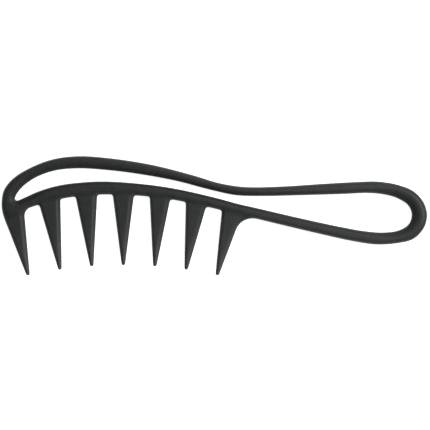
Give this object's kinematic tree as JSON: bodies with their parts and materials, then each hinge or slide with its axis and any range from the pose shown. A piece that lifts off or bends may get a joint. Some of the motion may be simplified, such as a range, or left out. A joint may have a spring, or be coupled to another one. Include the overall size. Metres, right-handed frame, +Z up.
{
  "type": "wide tooth comb",
  "caption": "Flat moulded hand comb with wide tapering teeth on an arched spine, a slim back rail over it and an open loop handle.",
  "frame": {"origin": "under the middle of the comb's outline, on the flat face that it lies on", "axes": "+X along the comb from the nose to the handle's bow, -Y the way the teeth point, +Z up through the comb's thickness"},
  "size_m": [0.2, 0.0558, 0.006],
  "materials": {
    "comb_plastic": "satin black, fine moulded texture"
  },
  "bodies": {
    "root": {"nose": "comb_plastic", "back_rail": "comb_plastic", "spine": "comb_plastic", "handle_upper_limb": "comb_plastic", "handle_lower_limb": "comb_plastic", "handle_bow": "comb_plastic", "tooth_1": "comb_plastic", "tooth_2": "comb_plastic", "tooth_3": "comb_plastic", "tooth_4": "comb_plastic", "tooth_5": "comb_plastic", "tooth_6": "comb_plastic", "tooth_7": "comb_plastic"}
  },
  "joints": []
}
